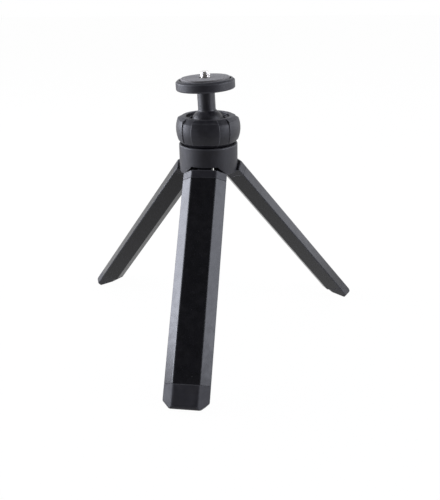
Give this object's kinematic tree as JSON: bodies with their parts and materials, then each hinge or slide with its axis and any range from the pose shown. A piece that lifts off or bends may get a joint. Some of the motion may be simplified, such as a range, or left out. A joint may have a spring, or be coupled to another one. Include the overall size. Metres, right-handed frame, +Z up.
{
  "type": "mini tripod",
  "caption": "Table-top tripod with faceted aluminium legs that fold together under a round collar, and a lockable ball head with a screw disc.",
  "frame": {"origin": "on the collar's axis at floor level, in the middle of the three feet", "axes": "+Z up along the collar's axis, the front leg points towards -Y and +X is to its right seen from the front"},
  "size_m": [0.1894, 0.1654, 0.1642],
  "materials": {
    "black_satin_plastic": "fine satin moulding",
    "black_matte_plastic": "matte moulding",
    "black_anodised_aluminium": "glossy black anodised extrusion",
    "black_satin_metal": "satin black coating",
    "grey_rubber": "matte pad",
    "bright_steel": "bright machined",
    "pale_nylon": "smooth",
    "dark_nylon": "smooth"
  },
  "bodies": {
    "hub": {"hub_collar": "black_satin_plastic", "hub_bolt": "bright_steel", "hub_bolt_washer": "bright_steel", "socket_neck": "black_satin_plastic", "clamp_ring": "dark_nylon", "hinge_pin_front": "bright_steel", "hinge_pin_right": "bright_steel", "hinge_pin_left": "bright_steel", "friction_washers_front": "pale_nylon", "friction_washers_right": "pale_nylon", "friction_washers_left": "pale_nylon"},
    "leg_front": {"leg_knuckle_front": "black_satin_plastic", "leg_tube_front": "black_anodised_aluminium", "leg_foot_front": "black_matte_plastic"},
    "leg_right": {"leg_knuckle_right": "black_satin_plastic", "leg_tube_right": "black_anodised_aluminium", "leg_foot_right": "black_matte_plastic"},
    "leg_left": {"leg_knuckle_left": "black_satin_plastic", "leg_tube_left": "black_anodised_aluminium", "leg_foot_left": "black_matte_plastic"},
    "ball_cup": {"ball_seat": "pale_nylon"},
    "head_stem": {"ball_stem": "black_satin_metal", "stem_washer": "dark_nylon"},
    "platform": {"platform_disc": "black_satin_plastic", "platform_pad": "grey_rubber", "camera_stud": "bright_steel"},
    "knob": {"lock_knob": "black_satin_plastic"}
  },
  "joints": [
    {"name": "fold_front", "type": "hinge", "parent": "hub", "child": "leg_front", "pos_m": [0, -0.0082, 0.11398], "axis": [1, 0, 0], "range_deg": [0, 39]},
    {"name": "fold_right", "type": "hinge", "parent": "hub", "child": "leg_right", "pos_m": [0.0071, 0.0041, 0.11398], "axis": [-0.5, 0.866, 0], "range_deg": [0, 39]},
    {"name": "fold_left", "type": "hinge", "parent": "hub", "child": "leg_left", "pos_m": [-0.0071, 0.0041, 0.11398], "axis": [-0.5, -0.866, 0], "range_deg": [0, 39]},
    {"name": "head_turn", "type": "hinge", "parent": "hub", "child": "ball_cup", "pos_m": [0, 0, 0.13268], "axis": [0, 0, 1], "continuous": true},
    {"name": "head_tilt", "type": "hinge", "parent": "ball_cup", "child": "head_stem", "pos_m": [0, 0, 0.13268], "axis": [0, 1, 0], "range_deg": [-33, 38]},
    {"name": "platform_turn", "type": "hinge", "parent": "head_stem", "child": "platform", "pos_m": [-0.00092, 0, 0.15467], "axis": [-0.0419, 0, 0.9991], "continuous": true},
    {"name": "knob_turn", "type": "hinge", "parent": "hub", "child": "knob", "pos_m": [0, 0, 0.13268], "axis": [0, 0, 1], "range_deg": [0, 360]}
  ]
}
